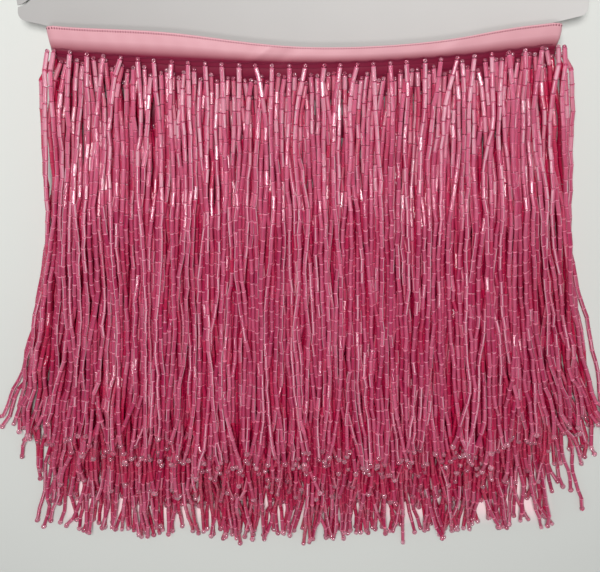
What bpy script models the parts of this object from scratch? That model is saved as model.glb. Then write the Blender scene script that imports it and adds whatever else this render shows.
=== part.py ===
"""Roll of beaded fringe: strands of bugle beads hang from a satin header ribbon, and the ribbon is
wound in turns round the neck of a winged card. The roll lies on its back, with the strands combed
towards -Y. Each run of fringe, which is one side of one turn, is its own piece.

Metres, +Z up, +X along the ribbon. The surface that the roll lies on is z = 0."""

import math
from collections import namedtuple
from functools import partial

import bmesh
import bpy
import numpy as np

# Beads and strands
BEAD_WIDTH = 0.0019
BEAD_PITCH = 0.0058
BEADS_PER_STRAND = 31
END_BEAD = 0.0016
STRAND_LENGTH = BEADS_PER_STRAND * BEAD_PITCH + 2 * END_BEAD
STRAND_PITCH = 0.0067
NECK_STRANDS = 31
SIDE_STRAND_X = 0.1044
LEAST_SPACING = 0.0026

# Card
NECK_HALF = 0.098
WING_HALF = 0.113
WING_TOP = 0.1385
WING_CORNER = 0.003
SHOULDER_RISE = 0.0028
SHOULDER_ANGLE = 80
CARD_THICKNESS = 0.0015
CARD_BELOW_LAST_RUN = 0.006
CORNER_STEPS = 5

# Curved slit at the card's left end
SLIT_WIDTH = 0.0007
SLIT_RADIUS = 0.009
SLIT_CENTRE_X = -WING_HALF - 0.001
SLIT_CENTRE_Y = WING_TOP - 0.0045
SLIT_FROM, SLIT_TO = -82, 10
SLIT_STEPS = 9

# Header ribbon
HEADS_Y = 0.1095
RIBBON_WIDTH = 0.0070
RIBBON_TOP_SAG = 0.0080
RIBBON_BACK_SAG = 0.0040
STRIP_HEIGHT = 0.0020
STRIP_THICKNESS = 0.0012
SIDE_TURN = 0.0007
SIDE_FIRST_TURN = 0.0010
FRONT_CUTS = 13
STRANDS_PER_STRIP_FACE = 4

# Clearances
GAP = 0.0003
PILE_MARGIN = 0.0005

# Lie of the strands as seen from above
FAN = 0.20
FAN_CURVE = 1.3
SPLAY_CURVE = 1.8
SPLAY_TOWARDS_SIDE = 7
SIDE_BULGE = 0.0050
SIDE_BULGE_OVER = 0.012
BULGE_TOWARDS_SIDE = 10
BUNCH_LENGTH = 0.034
BUNCH_WIDTH = 0.0022
BUNCH_TURN = 2.0
LEAN = 0.0035
WANDER = 0.0012
STEEPEST = 0.3

# Grid on which the strands are laid
PILE_CELL = 0.0005
PILE_LOW = (-0.17, -0.16)
PILE_HIGH = (0.17, 0.15)
SETTLE_PASSES = 200
ROOT_REACH = 0.002
SETTLED = 1e-6
SPREAD_PASSES = 40

# One side of one turn of the fringe. drop is how far its ribbon edge lies below that of the outermost
# front run, sag how much lower the edge hangs in the middle, bulge how far it stands off the card
# there, and splay how far the outermost strands swing out at their ends.
Run = namedtuple("Run", "name drop sag bulge splay_left splay_right seed")
FRONT_RUNS = (
    Run("fringe_front_1", 0.000, 0.0063, 0.0025, 0.020, 0.019, 11),
    Run("fringe_front_2", 0.003, 0.0090, 0.0018, 0.016, 0.022, 12),
    Run("fringe_front_3", 0.009, 0.0100, 0.0011, 0.024, 0.016, 13),
    Run("fringe_front_4", 0.027, 0.0080, 0.0005, 0.020, 0.020, 14),
    Run("fringe_front_5", 0.058, 0.0060, 0.0000, 0.010, 0.012, 15),
)
BACK_RUNS = (
    Run("fringe_back_1", 0.002, 0.0040, 0.0, 0.018, 0.014, 21),
    Run("fringe_back_2", 0.010, 0.0040, 0.0, 0.022, 0.018, 22),
    Run("fringe_back_3", 0.023, 0.0040, 0.0, 0.014, 0.020, 23),
    Run("fringe_back_4", 0.041, 0.0040, 0.0, 0.012, 0.010, 24),
)

# Where a strand bends, as shares of its length
FRONT_KNOTS = (0.0, 0.12, 0.30, 0.52, 0.76, 1.0)
BACK_KNOTS = (0.0, 0.20, 0.46, 0.73, 1.0)

# Heights
BACK_STEP = BEAD_WIDTH + GAP
FRONT_STEP = STRIP_THICKNESS + GAP
CARD_BOTTOM = len(BACK_RUNS) * BACK_STEP + 2 * GAP
CARD_TOP = CARD_BOTTOM + CARD_THICKNESS

PINK_GLASS = (0.60, 0.17, 0.28, 1.0)
PINK_SATIN = (0.78, 0.36, 0.42, 1.0)
WHITE_CARD = (0.78, 0.77, 0.74, 1.0)


class Pile:
    """Height of all that has been laid so far, on a square grid seen from above."""

    def __init__(self):
        self.low = np.array(PILE_LOW)
        cells = np.ceil((np.array(PILE_HIGH) - self.low) / PILE_CELL).astype(int)
        self.top = np.zeros(cells)

    def disc(self, points, radius):
        """Grid indices of the cells within radius of each point."""
        reach = int(math.ceil(radius / PILE_CELL))
        steps = np.arange(-reach, reach + 1)
        dx, dy = np.meshgrid(steps, steps, indexing="ij")
        inside = np.hypot(dx, dy) * PILE_CELL <= radius
        at = np.round((points[:, :2] - self.low) / PILE_CELL).astype(int)
        return at[:, :1] + dx[inside], at[:, 1:] + dy[inside]

    def under(self, points, radius):
        """The highest thing within radius of each point."""
        return self.top[self.disc(points, radius)].max(axis=1)

    def lay(self, points, heights, radius):
        """Raises the grid to each point's height within radius of it."""
        ix, iy = self.disc(points, radius)
        np.maximum.at(self.top, (ix, iy), np.broadcast_to(heights[:, None], ix.shape))


def hump(x):
    """1 in the middle of the card, falling to 0 at the neck's sides."""
    return 1.0 - np.minimum(1.0, (np.asarray(x) / NECK_HALF) ** 2)


def edge_y(run, x):
    """The lower edge of a run's ribbon."""
    return HEADS_Y - run.drop - run.sag * hump(x)


def front_top(turn, x):
    """Top of the ribbon of a front turn, counted from the outermost."""
    inside = len(FRONT_RUNS) - turn
    return CARD_TOP + inside * FRONT_STEP + FRONT_RUNS[turn].bulge * hump(x)


def front_under(turn, x):
    """Underside of the ribbon of a front turn, counted from the outermost."""
    return front_top(turn, x) - STRIP_THICKNESS


def back_under(turn, x):
    """Underside of the ribbon of a back turn, counted from the outermost."""
    return turn * BACK_STEP + 0.0 * np.asarray(x)


def lowest_run_y():
    return min(float(edge_y(run, 0.0)) for run in FRONT_RUNS + BACK_RUNS)


def card_foot():
    return lowest_run_y() - CARD_BELOW_LAST_RUN


def strand_roots(side_strands):
    """x of each strand's root along the ribbon."""
    half = (NECK_STRANDS - 1) / 2
    roots = [(i - half) * STRAND_PITCH for i in range(NECK_STRANDS)]
    if side_strands:
        roots = [-SIDE_STRAND_X] + roots + [SIDE_STRAND_X]
    return np.array(roots)


def keep_apart(row):
    """Neighbours pushed apart to the least spacing, with their order kept."""
    for _ in range(SPREAD_PASSES):
        short = np.maximum(LEAST_SPACING - np.diff(row), 0.0) / 2
        row[:-1] -= short
        row[1:] += short
    for i in range(1, len(row)):
        row[i] = max(row[i], row[i - 1] + LEAST_SPACING)


def lie_of_run(run, knots, side_strands):
    """x and y of every strand's knots as seen from above, as an array (strand, knot, 2)."""
    draw = np.random.default_rng(run.seed)
    roots = strand_roots(side_strands)
    side = np.abs(roots) / SIDE_STRAND_X
    out = np.sign(roots)
    splay = out * np.where(out < 0, run.splay_left, run.splay_right) * side**SPLAY_TOWARDS_SIDE
    bulge = out * SIDE_BULGE * side**BULGE_TOWARDS_SIDE
    lean = draw.normal(0.0, LEAN, len(roots))
    bunch = 2 * math.pi * roots / BUNCH_LENGTH + draw.uniform(0.0, 2 * math.pi)
    wander = np.cumsum(draw.normal(0.0, WANDER, (len(roots), len(knots))), axis=1)
    x = np.zeros((len(roots), len(knots)))
    x[:, 0] = roots
    for j, share in list(enumerate(knots))[1:]:
        row = roots * (1.0 + FAN * share**FAN_CURVE) + splay * share**SPLAY_CURVE
        row += bulge * (1.0 - math.exp(-share * STRAND_LENGTH / SIDE_BULGE_OVER))
        row += BUNCH_WIDTH * math.sqrt(share) * np.sin(bunch + BUNCH_TURN * share)
        row += lean * share + wander[:, j]
        keep_apart(row)
        x[:, j] = row
    y = np.zeros_like(x)
    y[:, 0] = edge_y(run, roots)
    for j in range(1, len(knots)):
        step = (knots[j] - knots[j - 1]) * STRAND_LENGTH
        sideways = x[:, j] - x[:, j - 1]
        y[:, j] = y[:, j - 1] - np.sqrt(np.maximum(step**2 - sideways**2, (STEEPEST * step) ** 2))
    return np.stack([x, y], axis=2)


def samples_along(route):
    """Points every grid cell along a route, with the segment that each is on and its share of it."""
    points, segment, share = [], [], []
    for j in range(len(route) - 1):
        way = route[j + 1] - route[j]
        u = np.linspace(0.0, 1.0, max(2, int(np.linalg.norm(way) / PILE_CELL)))
        points.append(route[j] + way * u[:, None])
        segment.append(np.full(len(u), j))
        share.append(u)
    return np.concatenate(points), np.concatenate(segment), np.concatenate(share)


def settle(pile, route, root_z):
    """Heights of the underside of a strand at its knots, as low as what lies below lets it sink."""
    points, segment, share = samples_along(route)
    need = pile.under(points, BEAD_WIDTH / 2 + GAP + PILE_MARGIN)
    past_root = np.linalg.norm(points - route[0], axis=1) > ROOT_REACH
    need = np.where((need > 0.0) & past_root, need + GAP, 0.0)
    stretches = [(need[segment == j], share[segment == j]) for j in range(len(route) - 1)]
    z = np.zeros(len(route))
    z[0] = root_z
    for _ in range(SETTLE_PASSES):
        before = z.copy()
        for j, (wanted, u) in enumerate(stretches):
            lift_stretch(z, j, wanted, u)
        if np.array_equal(z, before):
            break
    return z


def lift_stretch(z, j, wanted, u):
    """Lifts the knots at both ends of stretch j where it is lowest against what it lies on."""
    short = wanted - (z[j] * (1 - u) + z[j + 1] * u)
    worst = int(np.argmax(short))
    lift, at = short[worst], u[worst]
    if lift < SETTLED:
        return
    if j == 0:
        z[1] += lift / at
        return
    spread = (1 - at) ** 2 + at**2
    peak = wanted.max()
    z[j] = max(z[j], min(z[j] + lift * (1 - at) / spread, peak))
    z[j + 1] = max(z[j + 1], min(z[j + 1] + lift * at / spread, peak))


def lay_strand(pile, route, z):
    """Adds a settled strand to the pile."""
    points, segment, share = samples_along(route)
    thickness = np.full(len(route), BEAD_WIDTH)
    thickness[0] = STRIP_THICKNESS
    tops = z + thickness
    pile.lay(points, tops[segment] * (1 - share) + tops[segment + 1] * share, BEAD_WIDTH / 2)


def lay_run(pile, run, lies, root_z):
    """Settles one run's strands side by side, then adds them all to the pile."""
    strands = np.zeros(lies.shape[:2] + (3,))
    for i, route in enumerate(lies):
        strands[i, :, :2] = route
        strands[i, :, 2] = settle(pile, route, root_z[i])
    for strand in strands:
        lay_strand(pile, strand[:, :2], strand[:, 2])
    return strands


def lay_ribbon(pile, turn):
    """Adds a front turn's ribbon to the pile, from its lower edge up to the heads."""
    run = FRONT_RUNS[turn]
    xs = np.arange(-SIDE_STRAND_X, SIDE_STRAND_X, PILE_CELL)
    for rise in np.arange(0.0, run.drop + run.sag + STRIP_HEIGHT, PILE_CELL):
        points = np.stack([xs, edge_y(run, xs) + rise], axis=1)
        pile.lay(points, front_top(turn, xs), PILE_CELL)


def lay_card(pile):
    """Adds the card's neck to the pile."""
    xs = np.arange(-NECK_HALF, NECK_HALF, PILE_CELL)
    for y in np.arange(card_foot(), HEADS_Y, PILE_CELL):
        pile.lay(np.stack([xs, np.full(len(xs), y)], axis=1), np.full(len(xs), CARD_TOP), PILE_CELL)


def lay_whole_roll():
    """Every strand's knots with their heights, laid from the surface up, by the run's name."""
    pile = Pile()
    laid = {}
    for turn, run in enumerate(BACK_RUNS):
        lies = lie_of_run(run, BACK_KNOTS, False)
        laid[run.name] = lay_run(pile, run, lies, back_under(turn, lies[:, 0, 0]))
    lay_card(pile)
    for turn, run in reversed(list(enumerate(FRONT_RUNS))):
        lies = lie_of_run(run, FRONT_KNOTS, True)
        laid[run.name] = lay_run(pile, run, lies, front_under(turn, lies[:, 0, 0]))
        lay_ribbon(pile, turn)
    return laid


def across(route, j):
    """Horizontal vector across a strand at a knot, lengthened on a bend so that the width stays."""
    before = route[j, :2] - route[j - 1, :2]
    after = route[min(j + 1, len(route) - 1), :2] - route[j, :2]
    ways = [way / np.linalg.norm(way) for way in (before, after) if way.any()]
    mean = sum(ways) / np.linalg.norm(sum(ways))
    return np.array([-mean[1], mean[0]]) / float(mean @ ways[-1])


def strand_rings(route):
    """The four corners of a strand at each knot after its root, from low left anticlockwise."""
    rings = []
    for j in range(1, len(route)):
        x, y, z = route[j]
        nx, ny = across(route, j) * BEAD_WIDTH / 2
        left, right = (x - nx, y - ny), (x + nx, y + ny)
        rings.append([(*left, z), (*right, z), (*right, z + BEAD_WIDTH), (*left, z + BEAD_WIDTH)])
    return rings


def strip_faces(bm, low, high, marks):
    """The strip's top, underside, upper edge and two ends. low and high hold (under, top) points."""
    for k in range(len(marks) - 1):
        span = range(marks[k], marks[k + 1] + 1)
        bm.faces.new([high[k][1], high[k + 1][1]] + [low[i][1] for i in reversed(span)])
        bm.faces.new([high[k + 1][0], high[k][0]] + [low[i][0] for i in span])
        bm.faces.new([high[k][0], high[k + 1][0], high[k + 1][1], high[k][1]])
    for end in (0, -1):
        bm.faces.new([low[end][0], low[end][1], high[end][1], high[end][0]])


def strand_faces(bm, ring, strand):
    """A strand drawn out from its root's four points to its closed end."""
    for corners in strand_rings(strand):
        following = [bm.verts.new(corner) for corner in corners]
        for c in range(4):
            d = (c + 1) % 4
            bm.faces.new([ring[c], ring[d], following[d], following[c]])
        ring = following
    bm.faces.new(ring)


def fringe_mesh(run, strands, underside):
    """The strip of ribbon edge with its strands fused to it, as one closed surface."""
    bm = bmesh.new()
    half = BEAD_WIDTH / 2
    stops = [strands[0, 0, 0] - 2 * half]
    for strand in strands:
        stops += [strand[0, 0] - half, strand[0, 0] + half]
    stops.append(strands[-1, 0, 0] + 2 * half)

    def under_and_top(x, rise):
        y, z = float(edge_y(run, x)) + rise, float(underside(x))
        return bm.verts.new((x, y, z)), bm.verts.new((x, y, z + STRIP_THICKNESS))

    low = [under_and_top(x, 0.0) for x in stops]
    marks = list(range(0, len(stops) - 1, 2 * STRANDS_PER_STRIP_FACE)) + [len(stops) - 1]
    high = [under_and_top(stops[m], STRIP_HEIGHT) for m in marks]
    strip_faces(bm, low, high, marks)
    for i in range(len(stops) - 1):
        a, b = low[i], low[i + 1]
        root = [a[0], b[0], b[1], a[1]]
        if i % 2:
            strand_faces(bm, root, strands[i // 2])
        else:
            bm.faces.new(root)
    return bm


def front_steps(x):
    """Lower edge and height off the card of each front turn's ribbon."""
    return [
        (float(edge_y(run, x)) + STRIP_HEIGHT + GAP, float(front_top(turn, x)) - CARD_TOP)
        for turn, run in enumerate(FRONT_RUNS)
    ]


def back_steps(x):
    """The same at the back of the card, with the ribbon's inner end as the last step."""
    steps = [
        (float(edge_y(run, x)) + STRIP_HEIGHT + GAP, CARD_BOTTOM - float(back_under(turn, x)))
        for turn, run in enumerate(BACK_RUNS)
    ]
    return steps + [(steps[-1][0] - STRIP_HEIGHT, 2 * GAP)]


def ribbon_cut(x, z, turned, front_share, off):
    """One cut through the wound ribbon, as points: its upper edge, then the steps that its turns make.
    turned is the angle of the card's outward normal from +Z towards +X, and off how far each turn
    stands off the card."""
    lower = [
        front[0] * front_share + back[0] * (1 - front_share)
        for front, back in zip(front_steps(x), back_steps(x))
    ]
    sag = RIBBON_TOP_SAG * front_share + RIBBON_BACK_SAG * (1 - front_share)
    top = HEADS_Y + RIBBON_WIDTH - sag * float(hump(x))
    outline = [(lower[-1], GAP), (top, GAP), (top, off[0]), (lower[0], off[0])]
    for k in range(1, len(lower)):
        outline += [(lower[k - 1], off[k]), (lower[k], off[k])]
    return [(x + away * math.sin(turned), y, z + away * math.cos(turned)) for y, away in outline]


def front_cut(x):
    return ribbon_cut(x, CARD_TOP, 0.0, 1.0, [away for _, away in front_steps(x)])


def back_cut(x):
    return ribbon_cut(x, CARD_BOTTOM, math.pi, 0.0, [away for _, away in back_steps(x)])


def side_cuts(side):
    """The cuts round one side of the neck, from front to back."""
    off = [SIDE_FIRST_TURN + SIDE_TURN * inside for inside in reversed(range(len(FRONT_RUNS)))]
    middle = (CARD_TOP + CARD_BOTTOM) / 2
    corners = ((CARD_TOP, 45, 1.0), (middle, 90, 0.5), (CARD_BOTTOM, 135, 0.0))
    return [
        ribbon_cut(side * NECK_HALF, z, side * math.radians(angle), front_share, off)
        for z, angle, front_share in corners
    ]


def ribbon_mesh():
    """The wound form of the header ribbon: a flat ring round the neck, stepped where turns lie lower."""
    xs = np.linspace(-NECK_HALF, NECK_HALF, FRONT_CUTS)
    cuts = [front_cut(x) for x in xs] + side_cuts(1)
    cuts += [back_cut(x) for x in xs[::-2]] + side_cuts(-1)[::-1]
    bm = bmesh.new()
    rings = [[bm.verts.new(point) for point in cut] for cut in cuts]
    for ring, following in zip(rings, rings[1:] + rings[:1]):
        for c in range(len(ring)):
            d = (c + 1) % len(ring)
            bm.faces.new([ring[c], ring[d], following[d], following[c]])
    return bm


def arc(cx, cy, radius, start, end, steps):
    """Points on an arc, with angles in degrees."""
    angles = np.radians(np.linspace(start, end, steps))
    return [(cx + radius * math.cos(a), cy + radius * math.sin(a)) for a in angles]


def slit_outline():
    """Both lips of the curved slit, from its mouth to its tip and back."""
    lips = []
    for offset, start, end in ((0.5, SLIT_FROM, SLIT_TO), (-0.5, SLIT_TO, SLIT_FROM)):
        radius = SLIT_RADIUS + offset * SLIT_WIDTH
        lips += arc(SLIT_CENTRE_X, SLIT_CENTRE_Y, radius, start, end, SLIT_STEPS)
    return [(max(x, -WING_HALF), y) for x, y in lips]


def card_outline():
    """The card's outline, anticlockwise from the neck's lower left corner."""
    neck_top = HEADS_Y + RIBBON_WIDTH + GAP
    low = neck_top + SHOULDER_RISE + WING_CORNER
    high = WING_TOP - WING_CORNER
    side = WING_HALF - WING_CORNER
    outline = [(-NECK_HALF, card_foot()), (NECK_HALF, card_foot()), (NECK_HALF, neck_top)]
    outline += arc(side, low, WING_CORNER, -SHOULDER_ANGLE, 0, CORNER_STEPS)
    outline += arc(side, high, WING_CORNER, 0, 90, CORNER_STEPS)
    outline += arc(-side, high, WING_CORNER, 90, 180, CORNER_STEPS)
    outline += slit_outline()[::-1]
    outline += arc(-side, low, WING_CORNER, 180, 180 + SHOULDER_ANGLE, CORNER_STEPS)
    outline.append((-NECK_HALF, neck_top))
    return outline


def card_mesh():
    """The card, cut from one flat sheet."""
    bm = bmesh.new()
    face = bm.faces.new([bm.verts.new((x, y, CARD_BOTTOM)) for x, y in card_outline()])
    made = bmesh.ops.extrude_face_region(bm, geom=[face])
    top = [v for v in made["geom"] if isinstance(v, bmesh.types.BMVert)]
    bmesh.ops.translate(bm, vec=(0, 0, CARD_THICKNESS), verts=top)
    return bm


def material(name, colour, roughness):
    """A plain Principled material."""
    made = bpy.data.materials.new(name)
    made.use_nodes = True
    shader = made.node_tree.nodes["Principled BSDF"]
    shader.inputs["Base Color"].default_value = colour
    shader.inputs["Roughness"].default_value = roughness
    made.diffuse_color = colour
    return made


def add_piece(name, bm, finish):
    """Turns a bmesh into a named object in the scene, with its faces pointing out."""
    bmesh.ops.recalc_face_normals(bm, faces=bm.faces)
    mesh = bpy.data.meshes.new(name)
    bm.to_mesh(mesh)
    bm.free()
    mesh.materials.append(finish)
    bpy.context.scene.collection.objects.link(bpy.data.objects.new(name, mesh))


def clear_scene():
    for old in list(bpy.data.objects):
        bpy.data.objects.remove(old, do_unlink=True)


def build():
    """Makes every piece of the roll."""
    clear_scene()
    glass = material("pink_glass_beads", PINK_GLASS, 0.15)
    satin = material("pink_satin_ribbon", PINK_SATIN, 0.45)
    card = material("white_card", WHITE_CARD, 0.6)
    add_piece("winding_card", card_mesh(), card)
    add_piece("header_ribbon", ribbon_mesh(), satin)
    laid = lay_whole_roll()
    for runs, underside in ((BACK_RUNS, back_under), (FRONT_RUNS, front_under)):
        for turn, run in enumerate(runs):
            add_piece(run.name, fringe_mesh(run, laid[run.name], partial(underside, turn)), glass)


build()
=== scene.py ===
"""Looks of a roll of beaded fringe: glass bugle beads on their threads, a satin header ribbon wound in
turns round the neck of a winged card, and the stage that they are shown on.

Metres, +Z up, +X along the ribbon. The roll lies on z = 0 with its strands combed towards -Y. The
table of runs and the heights of the turns repeat those of the solids, and the strands follow the
solids' routes closely. Here more strands lie between them, the outermost hang closer under the
ribbon's corners, the heads at the left lie up to 2 mm further along it, and the ends fray more."""

import math
from collections import namedtuple
from functools import lru_cache

import bpy
import numpy as np
from bpy.props import FloatProperty, FloatVectorProperty, IntProperty, PointerProperty
from mathutils import Euler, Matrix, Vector


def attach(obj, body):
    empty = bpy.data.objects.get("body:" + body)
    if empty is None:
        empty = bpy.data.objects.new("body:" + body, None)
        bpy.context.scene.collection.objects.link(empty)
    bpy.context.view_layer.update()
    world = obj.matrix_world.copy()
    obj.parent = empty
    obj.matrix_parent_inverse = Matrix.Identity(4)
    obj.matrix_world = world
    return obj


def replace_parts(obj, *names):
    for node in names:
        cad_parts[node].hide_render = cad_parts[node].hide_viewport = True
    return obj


bl_info = {
    "name": "Beaded Fringe Roll",
    "version": (1, 0, 0),
    "blender": (4, 5, 0),
    "location": "View3D > Sidebar > Fringe",
    "description": "Makes a roll of beaded fringe on its card, and a stage for it",
    "category": "Add Mesh",
}

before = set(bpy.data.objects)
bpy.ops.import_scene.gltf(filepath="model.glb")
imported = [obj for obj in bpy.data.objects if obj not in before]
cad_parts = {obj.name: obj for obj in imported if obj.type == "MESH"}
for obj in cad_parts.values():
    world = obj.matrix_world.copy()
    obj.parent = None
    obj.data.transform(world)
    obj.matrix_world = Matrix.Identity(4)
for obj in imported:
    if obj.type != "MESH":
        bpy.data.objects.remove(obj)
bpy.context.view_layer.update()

# Strands
STRAND_PITCH = 0.0067
NECK_STRANDS = 31
SIDE_STRAND_X = 0.1027
ROUND_BEAD_ROOM = 0.0016
LEAST_SPACING = 0.0026
# How far the leftmost heads are shifted along the ribbon, and how fast the shift fades down a strand
HEAD_SHIFT = 0.0020
SHIFT_FADE = 3

# Card
NECK_HALF = 0.098
WING_HALF = 0.113
CARD_THICKNESS = 0.0015
CARD_BELOW_LAST_RUN = 0.006

# Header ribbon
HEADS_Y = 0.1095
RIBBON_TOP_SAG = 0.0080
RIBBON_BACK_SAG = 0.0040
STRIP_THICKNESS = 0.0012
GAP = 0.0003

# Lie of the strands as seen from above
FAN = 0.20
FAN_CURVE = 1.3
SPLAY_CURVE = 1.8
SPLAY_TOWARDS_SIDE = 7
SIDE_BULGE = 0.0008
SIDE_BULGE_OVER = 0.012
BULGE_TOWARDS_SIDE = 10
BUNCH_LENGTH = 0.034
BUNCH_WIDTH = 0.0022
BUNCH_TURN = 2.0
LEAN = 0.0035
WANDER = 0.0012
STEEPEST = 0.3
SPREAD_PASSES = 40

# One side of one turn of the fringe, as in the solids.
Run = namedtuple("Run", "name drop sag bulge splay_left splay_right seed")
FRONT_RUNS = (
    Run("fringe_front_1", 0.000, 0.0063, 0.0025, 0.020, 0.019, 11),
    Run("fringe_front_2", 0.003, 0.0090, 0.0018, 0.016, 0.022, 12),
    Run("fringe_front_3", 0.009, 0.0100, 0.0011, 0.024, 0.016, 13),
    Run("fringe_front_4", 0.027, 0.0080, 0.0005, 0.020, 0.020, 14),
    Run("fringe_front_5", 0.058, 0.0060, 0.0000, 0.010, 0.012, 15),
)
BACK_RUNS = (
    Run("fringe_back_1", 0.002, 0.0040, 0.0, 0.018, 0.014, 21),
    Run("fringe_back_2", 0.010, 0.0040, 0.0, 0.022, 0.018, 22),
    Run("fringe_back_3", 0.023, 0.0040, 0.0, 0.014, 0.020, 23),
    Run("fringe_back_4", 0.041, 0.0040, 0.0, 0.012, 0.010, 24),
)
FRONT_KNOTS = (0.0, 0.12, 0.30, 0.52, 0.76, 1.0)
BACK_KNOTS = (0.0, 0.20, 0.46, 0.73, 1.0)

# Heights
BACK_STEP = 0.0022
FRONT_STEP = STRIP_THICKNESS + GAP
CARD_BOTTOM = len(BACK_RUNS) * BACK_STEP + 2 * GAP
CARD_TOP = CARD_BOTTOM + CARD_THICKNESS

# Grid on which the beads are laid
PILE_CELL = 0.00025
PILE_LOW = (-0.17, -0.16)
PILE_HIGH = (0.17, 0.15)


def length_prop(name, description, default):
    return FloatProperty(name=name, description=description, default=default, unit="LENGTH")


def angle_prop(name, description, degrees):
    turn = math.radians(degrees)
    return FloatProperty(name=name, description=description, default=turn, subtype="ANGLE")


def colour_prop(name, thing, *rgb):
    return FloatVectorProperty(
        name=name, description=f"Colour of {thing}", subtype="COLOR", size=4, default=(*rgb, 1.0)
    )


class BeadSizes(bpy.types.PropertyGroup):
    """Sizes of the beads and of the thread that they are strung on."""

    width: length_prop("Bead width", "Across the corners of a bugle bead", 0.0020)
    pitch: length_prop("Bead pitch", "From one bugle bead to the next along a strand", 0.00573)
    per_strand: IntProperty(
        name="Beads a strand", description="Bugle beads on each strand", default=31
    )
    head: length_prop("Head bead", "Diameter of the round bead at a strand's head", 0.0018)
    end: length_prop("End bead", "Diameter of the round bead at a strand's end", 0.0027)
    gap: length_prop("Joint", "Space between two beads on the thread", 0.00024)
    rim: length_prop("Rim", "Length of the ground rim at a bead's end", 0.00032)
    thread: length_prop("Thread", "Diameter of the thread inside the beads", 0.00045)


class RibbonSizes(bpy.types.PropertyGroup):
    """Sizes of the header ribbon."""

    above: length_prop("Above the heads", "Ribbon above the heads at the card's sides", 0.0070)
    below: length_prop("Below the heads", "Ribbon behind the heads", 0.0022)
    thickness: length_prop("Thickness", "Thickness of the satin", 0.0002)


class Colours(bpy.types.PropertyGroup):
    """Colours of the glass, satin, thread and card."""

    glass: colour_prop("Glass", "the bugle beads", 0.54, 0.030, 0.125)
    # Painted reflections and glints: the palest facets, and the facets and edges painted as catching the
    # light
    glass_painted_light: colour_prop("Light glass", "the palest facets", 0.86, 0.21, 0.35)
    glass_painted_glint: colour_prop(
        "Glints in glass", "the facets and edges that catch the light", 1.0, 0.58, 0.68
    )
    glass_deep: colour_prop("Deep glass", "the beads in the shade of others", 0.66, 0.010, 0.085)
    # Frosted ends in two painted copies: bright with painted light where they catch it, and dim with
    # painted shade elsewhere
    ground: colour_prop(
        "Ground ends", "the frosted ends of the bugle beads where they catch the light", 1.0, 0.35, 0.50
    )
    ground_painted_dim: colour_prop("Dim ends", "the frosted ends elsewhere", 0.72, 0.15, 0.28)
    satin: colour_prop("Satin", "the header ribbon", 0.54, 0.27, 0.30)
    thread: colour_prop("Thread", "the thread inside the beads", 0.85, 0.35, 0.48)
    sewing: colour_prop("Sewing thread", "the thread along the heads", 0.16, 0.014, 0.04)
    tucked: colour_prop(
        "Tucked ribbon", "the ribbon's inner turns, in the shade of the beads", 0.16, 0.006, 0.028
    )
    card: colour_prop("Card", "the winding card", 0.42, 0.405, 0.39)


class StageSettings(bpy.types.PropertyGroup):
    """Camera and floor."""

    camera_height: length_prop("Camera height", "Height of the camera over the floor", 0.331)
    camera_y: length_prop(
        "Camera place", "How far the camera stands towards the card's wings", 0.123
    )
    camera_x: length_prop("Camera offset", "How far the camera stands to the right", -0.0022)
    tilt: angle_prop(
        "Tilt", "Angle of the camera from straight down, towards the strands' ends", 20.0
    )
    roll: angle_prop("Roll", "Turn of the camera about its own axis", -0.5)
    lens: FloatProperty(
        name="Lens", description="Focal length for a picture 36 mm wide", default=45.6
    )
    floor_colour: colour_prop("Floor", "the floor", 0.60, 0.61, 0.575)


class FringeRoll(bpy.types.PropertyGroup):
    """All the settings of the roll."""

    beads: PointerProperty(type=BeadSizes)
    ribbon: PointerProperty(type=RibbonSizes)
    colours: PointerProperty(type=Colours)
    stage: PointerProperty(type=StageSettings)


def settings():
    return bpy.context.scene.fringe_roll


# Routes of the strands


class Pile:
    """Height of all that has been laid so far, on a square grid seen from above."""

    def __init__(self):
        self.low = np.array(PILE_LOW)
        cells = np.ceil((np.array(PILE_HIGH) - self.low) / PILE_CELL).astype(int)
        self.top = np.zeros(cells)

    def cells_round(self, points, radius):
        """Grid cells under a round bead at each point, and the bead's half height over each."""
        reach = int(math.ceil(radius / PILE_CELL))
        steps = np.arange(-reach, reach + 1)
        dx, dy = np.meshgrid(steps, steps, indexing="ij")
        far = np.hypot(dx, dy) * PILE_CELL
        inside = far < radius
        at = np.round((points - self.low) / PILE_CELL).astype(int)
        half = np.sqrt(radius**2 - far[inside] ** 2)
        return at[..., :1] + dx[inside], at[..., 1:] + dy[inside], half

    def rest_height(self, points, radius):
        """The lowest that a bead's middle can lie at each point."""
        ix, iy, half = self.cells_round(points, radius)
        return (self.top[ix, iy] + half).max(axis=-1)

    def lay(self, points, middles, radius):
        """Adds beads whose middles are at these heights."""
        ix, iy, half = self.cells_round(points, radius)
        np.maximum.at(self.top, (ix, iy), middles[..., None] + half)

    def lay_level(self, xs, ys, heights):
        """Adds a strip that is this high along x, from the lowest to the highest of ys."""
        for y in np.arange(ys[0], ys[1], PILE_CELL):
            points = np.stack([xs, y + np.zeros(len(xs))], axis=1)
            at = np.round((points - self.low) / PILE_CELL).astype(int)
            np.maximum.at(self.top, (at[:, 0], at[:, 1]), heights)


def hump(x):
    """1 in the middle of the card, falling to 0 at the neck's sides."""
    return 1.0 - np.minimum(1.0, (np.asarray(x) / NECK_HALF) ** 2)


def edge_y(run, x):
    """The line of heads of a run, which dips in the middle."""
    return HEADS_Y - run.drop - run.sag * hump(x)


def front_top(turn, x):
    """Top of the ribbon of a front turn, counted from the outermost."""
    inside = len(FRONT_RUNS) - turn
    return CARD_TOP + inside * FRONT_STEP + FRONT_RUNS[turn].bulge * hump(x)


def front_under(turn, x):
    """Underside of the roots of a front turn."""
    return front_top(turn, x) - STRIP_THICKNESS


def back_under(turn):
    """Underside of the roots of a back turn, counted from the outermost."""
    return turn * BACK_STEP


def card_foot():
    """y of the card's lower edge."""
    lowest = min(float(edge_y(run, 0.0)) for run in FRONT_RUNS + BACK_RUNS)
    return lowest - CARD_BELOW_LAST_RUN


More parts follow.
